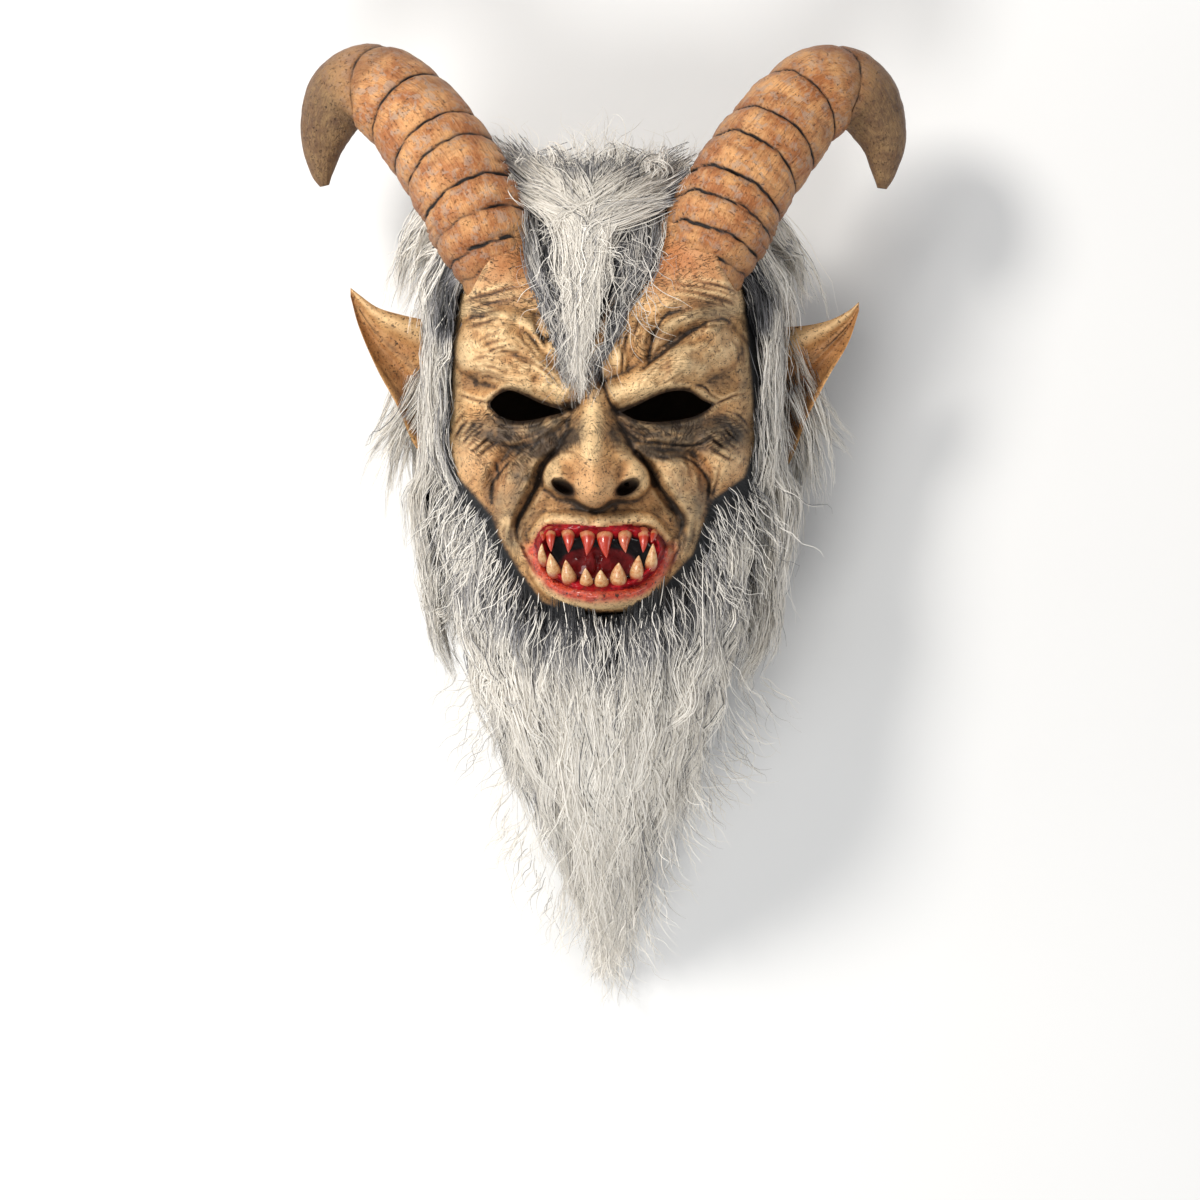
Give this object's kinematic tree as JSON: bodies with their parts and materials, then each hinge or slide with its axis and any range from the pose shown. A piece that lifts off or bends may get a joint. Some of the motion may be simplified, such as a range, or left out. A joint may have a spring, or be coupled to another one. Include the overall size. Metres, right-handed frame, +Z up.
{
  "type": "horror mask",
  "caption": "Hollow latex demon mask with ringed horns, fangs and pointed ears, and long fur for hair and beard.",
  "frame": {"origin": "on the surface the mask lies on, under the middle of its whole box", "axes": "+Z up, the way the face looks; +Y to the top of the head; +X to the right as the face is seen from the front"},
  "size_m": [0.3386, 0.5294, 0.2104],
  "materials": {
    "painted_latex": "satin",
    "hair_fur": "matte",
    "beard_fur": "matte"
  },
  "bodies": {
    "root": {"latex_mask": "painted_latex", "hair": "hair_fur", "beard": "beard_fur"}
  },
  "joints": []
}
